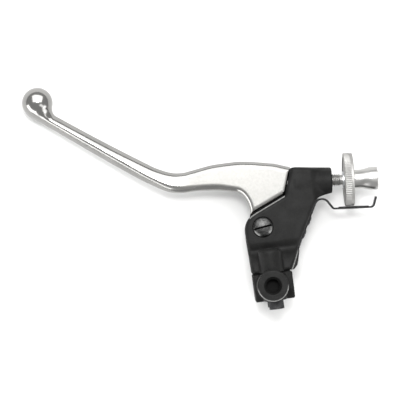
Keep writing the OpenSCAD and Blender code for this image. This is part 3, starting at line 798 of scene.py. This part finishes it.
def slotted_steel():
    """Dark mottled steel, with worn metal as a painted highlight on the rim and painted shade black down in the
    slot.
    """
    look = Look("dark_steel")
    mottle = look.noise(0.9, detail=4, rough=0.7)
    patches = look.span(mottle, 0, 1, start=0.35, end=0.65)
    tone = look.mix(patches, (0.02, 0.02, 0.02), (0.075, 0.075, 0.074))
    # Painted highlight: brighter worn metal on the rider's side of the rim
    tone = look.mix(look.wear_and_glint(mottle, 0.2, 1.1), tone, (0.24, 0.24, 0.235))
    # Painted shade: the slot turns black
    look.set(Metallic=1.0, Base_Color=look.mix(look.mask("hollow_shade"), tone, (0.002, 0.002, 0.002)),
             Roughness=look.span(mottle, 0.28, 0.42))
    look.bump(mottle, 0.02)
    return look.material


def plastic(name, dark, light, rough):
    look = Look(name)
    fine = look.noise(0.7, detail=4)
    look.set(Base_Color=look.mix(look.span(look.noise(5), 0, 1), dark, light),
             Roughness=look.span(fine, *rough))
    look.bump(fine, 0.015)
    return look.material


# A plain look has a dark and a light tone, and its least and most roughness
LOOKS = {
    "cast_black": cast_black("cast_black"),
    "cap_black": cast_black("cap_black", hollow_shade=True),
    "black_steel": plain_metal("black_steel", (0.02, 0.02, 0.021), (0.05, 0.05, 0.051), (0.36, 0.5),
                               grain=0.5, depth=0.02),
    "zinc_steel": plain_metal("zinc_steel", (0.5, 0.51, 0.53), (0.64, 0.65, 0.66), (0.26, 0.42)),
    "dark_steel": slotted_steel(),
    "shim_bronze": plain_metal("shim_bronze", (0.5, 0.36, 0.2), (0.66, 0.5, 0.3), (0.3, 0.45)),
    "bush_brass": plain_metal("bush_brass", (0.58, 0.4, 0.17), (0.72, 0.53, 0.26), (0.24, 0.4)),
    "spring_steel": plain_metal("spring_steel", (0.012, 0.012, 0.012), (0.03, 0.03, 0.031),
                                (0.34, 0.48), grain=0.8),
    "nickel": plain_metal("nickel", (0.35, 0.347, 0.338), (0.41, 0.407, 0.397), (0.29, 0.33),
                          depth=0.0005, lines=("turned", 0.35), dull=0.4),
    "wheel_satin": plain_metal("wheel_satin", (0.29, 0.287, 0.279), (0.35, 0.347, 0.338), (0.5, 0.58),
                               depth=0.006, lines=("turned", 0.3)),
    "lever_aluminium": lever_metal(),
    "nylon": plastic("nylon", (0.06, 0.12, 0.36), (0.1, 0.19, 0.5), (0.4, 0.55)),
    "seat_nylon": plastic("seat_nylon", (0.012, 0.012, 0.013), (0.028, 0.028, 0.03), (0.4, 0.6)),
}

# ---------------------------------------------------------------- pieces
perch = skin("perch", perch_field, (-16, -1.5, -24.2), (57, 70, 24.2), 0.4, masks={"bare_and_glint": perch_bare})
finish_piece(perch, "perch", LOOKS["cast_black"], "cast_black", "perch_body")

cap = skin("cap", cap_field, (-14, -19.5, -24.2), (14, 3.4, 32), 0.3,
           masks={"bare_and_glint": cap_rim_wear_and_glint, "hollow_shade": cap_hole_shade})
finish_piece(cap, "perch", LOOKS["cap_black"], "cap_black", "clamp_cap")

lever = skin("lever_blade", lever_field, (-152, 19, -11.2), (23, 144, 11.2), 0.45,
             masks={"satin": lever_satin, "gap_shade": lever_gap_shade, "ridge": lever_ridge})
finish_piece(lever, "lever", LOOKS["lever_aluminium"], "lever_aluminium", "lever")

SLOT_TURN = math.radians(8)
pivot_screw = skin("pivot_screw_slotted", pivot_screw_field, (-7.2, -7.2, PIVOT_TIP - 0.8),
                   (7.2, 7.2, PIVOT_TOP + 0.6), 0.16,
                   place=AT_PIVOT @ Matrix.Rotation(SLOT_TURN, 4, "Z"),
                   masks={"hollow_shade": pivot_slot_shade, "bare_and_glint": pivot_rim_glint})
finish_piece(pivot_screw, "perch", LOOKS["dark_steel"], "dark_steel", "pivot_screw")

nut = skin("pivot_lock_nut", nut_field, (-6.3, -6.3, NUT_TOP - 7), (6.3, 6.3, NUT_TOP + 0.5), 0.16,
           place=AT_PIVOT)
finish_piece(nut, "perch", LOOKS["zinc_steel"], "zinc_steel", "pivot_nut")

clamp_screws = skin("clamp_socket_screws", clamp_screw_field, (-5.6, -HEAD_END - 0.6, -SCREW_Z - 5.6),
                    (5.6, SCREW_TIP + 0.6, SCREW_Z + 5.6), 0.2)
finish_piece(clamp_screws, "perch", LOOKS["black_steel"], "black_steel", "clamp_screws")

leaf = skin("leaf", leaf_field, (17.5, 10.5, -5), (77.5, 50.5, 5), 0.2)
finish_piece(leaf, "perch", LOOKS["spring_steel"], "spring_steel", "leaf_spring")

# The leaf's screws stand on its long stretch beside the fork, at these shares of its length
LEAF_SCREW_SHARES = (0.13, 0.4)
LEAF_SCREW_OUT = 0.4
stretch_start, stretch_end = (np.array(p[:2], float) for p in LEAF_PATH[1:3])
stretch = stretch_end - stretch_start
outward = np.array((stretch[1], -stretch[0])) / np.linalg.norm(stretch)
for number, share in enumerate(LEAF_SCREW_SHARES, 1):
    spot = stretch_start + stretch * share + outward * LEAF_SCREW_OUT
    turned = (Matrix.Translation((spot[0], spot[1], 0))
              @ Matrix.Rotation(math.atan2(outward[1], outward[0]), 4, "Z")
              @ Matrix.Rotation(math.pi / 2, 4, "Y"))
    screw = skin(f"leaf_screw_{number}", leaf_screw_field, (-4, -4, -8.6), (4, 4, 2.5), 0.16, place=turned)
    finish_piece(screw, "perch", LOOKS["black_steel"], "black_steel", "leaf_screws")

barrel = skin("barrel", barrel_field, (-8.4, -8.4, -17.4), (8.4, 8.4, BARREL_END + 0.6), 0.2,
              place=TO_AXIS, masks={"turned": turned_mask, "dull": thread_mask})
finish_piece(barrel, "adjuster", LOOKS["nickel"], "nickel", "adjuster_barrel")

wheel = skin("wheel", wheel_field, (-18.4, -18.4, WHEEL_START - 0.6), (18.4, 18.4, WHEEL_END + 0.6), 0.24,
             place=TO_AXIS, masks={"turned": turned_mask})
finish_piece(wheel, "adjuster", LOOKS["wheel_satin"], "wheel_satin", "adjuster_wheel")

# These stay as the CAD's own meshes
KEPT = {"clamp_washers": "zinc_steel", "pivot_shims": "shim_bronze", "pivot_nut_washer": "zinc_steel",
        "pivot_nut_insert": "nylon", "pivot_bush": "bush_brass", "wheel_circlip": "zinc_steel",
        "cable_seat": "seat_nylon"}
for node, look in KEPT.items():
    for slot in frame["nodes"][node].material_slots:
        slot.material = LOOKS[look]

# ---------------------------------------------------------------- stage, light and camera
# The clutch lever lies on the floor on its lower clamp boss and its ball end
FLOOR_GAP = 0.1
REST_A = np.array((0, BOSS_Y - 3, -SCREW_Z - BOSS_R - FLOOR_GAP))
REST_B = np.array((BALL[0], BALL[1], -BALL_R - FLOOR_GAP))
LEAN = np.array((-1, 1)) / math.sqrt(2)
LEAN_SLOPE = (REST_B[2] - REST_A[2]) / float((REST_B - REST_A)[:2] @ LEAN)
HALF_FLOOR = 3.0


def floor_point(x, y):
    rise = LEAN_SLOPE * ((x - REST_A[0] * MM) * LEAN[0] + (y - REST_A[1] * MM) * LEAN[1])
    return x, y, REST_A[2] * MM + rise


floor_look = Look("floor")
floor_look.set(Base_Color=floor_look.mix(floor_look.span(floor_look.noise(60), 0, 1),
                                         (0.7, 0.7, 0.695), (0.72, 0.72, 0.715)), Roughness=0.9)
floor_mesh = bpy.data.meshes.new("floor")
corners = [(-HALF_FLOOR, -HALF_FLOOR), (HALF_FLOOR, -HALF_FLOOR),
           (HALF_FLOOR, HALF_FLOOR), (-HALF_FLOOR, HALF_FLOOR)]
floor_mesh.from_pydata([floor_point(x, y) for x, y in corners], [], [(0, 1, 2, 3)])
floor_mesh.materials.append(floor_look.material)
floor = bpy.data.objects.new("floor", floor_mesh)
bpy.context.scene.collection.objects.link(floor)


TURN = math.radians(-7.5)
MIDDLE = (-0.041, 0.0538)
RIGHT = Vector((math.cos(TURN), math.sin(TURN), 0))
AHEAD = Vector((-math.sin(TURN), math.cos(TURN), 0))
UP = Vector((0, 0, 1))
LIGHT_DISTANCE = 1.0
SKY = 0.66


def softbox(name, direction, width, depth, radiance):
    """A rectangular light that faces the middle of the object."""
    data = bpy.data.lights.new(name, "AREA")
    data.shape = "RECTANGLE"
    data.size, data.size_y = width, depth
    data.energy = radiance * math.pi * width * depth
    lamp = bpy.data.objects.new(name, data)
    towards = Vector(direction).normalized()
    lamp.location = Vector((MIDDLE[0], MIDDLE[1], 0)) + towards * LIGHT_DISTANCE
    lamp.rotation_euler = towards.to_track_quat("Z", "Y").to_euler()
    bpy.context.scene.collection.objects.link(lamp)


softbox("key", 0.55 * AHEAD + 0.83 * UP, 1.4, 1.04, 3.6)
softbox("top", 0.21 * AHEAD + 0.98 * UP, 0.22, 0.16, 42)
softbox("low_left", -0.72 * RIGHT - 0.66 * AHEAD + 0.26 * UP, 1.3, 0.42, 4.4)
softbox("side", 0.62 * RIGHT - 0.39 * AHEAD + 0.68 * UP, 0.3, 0.96, 2.3)
softbox("low_right", 0.8 * RIGHT - 0.55 * AHEAD + 0.35 * UP, 0.6, 0.42, 2.4)

world = bpy.data.worlds.new("studio")
world.use_nodes = True
world.node_tree.nodes["Background"].inputs["Color"].default_value = (SKY, SKY, SKY, 1)
bpy.context.scene.world = world

CAMERA_HEIGHT = 1.4
FIELD_WIDTH = 0.2667
camera_data = bpy.data.cameras.new("camera")
camera_data.sensor_width = 36
camera_data.lens = camera_data.sensor_width * CAMERA_HEIGHT / FIELD_WIDTH
camera_data.clip_end = 20
camera = bpy.data.objects.new("camera", camera_data)
camera.location = (MIDDLE[0], MIDDLE[1], CAMERA_HEIGHT)
camera.rotation_euler = (0, 0, TURN)
bpy.context.scene.collection.objects.link(camera)
bpy.context.scene.camera = camera
bpy.context.scene.view_settings.view_transform = "Standard"
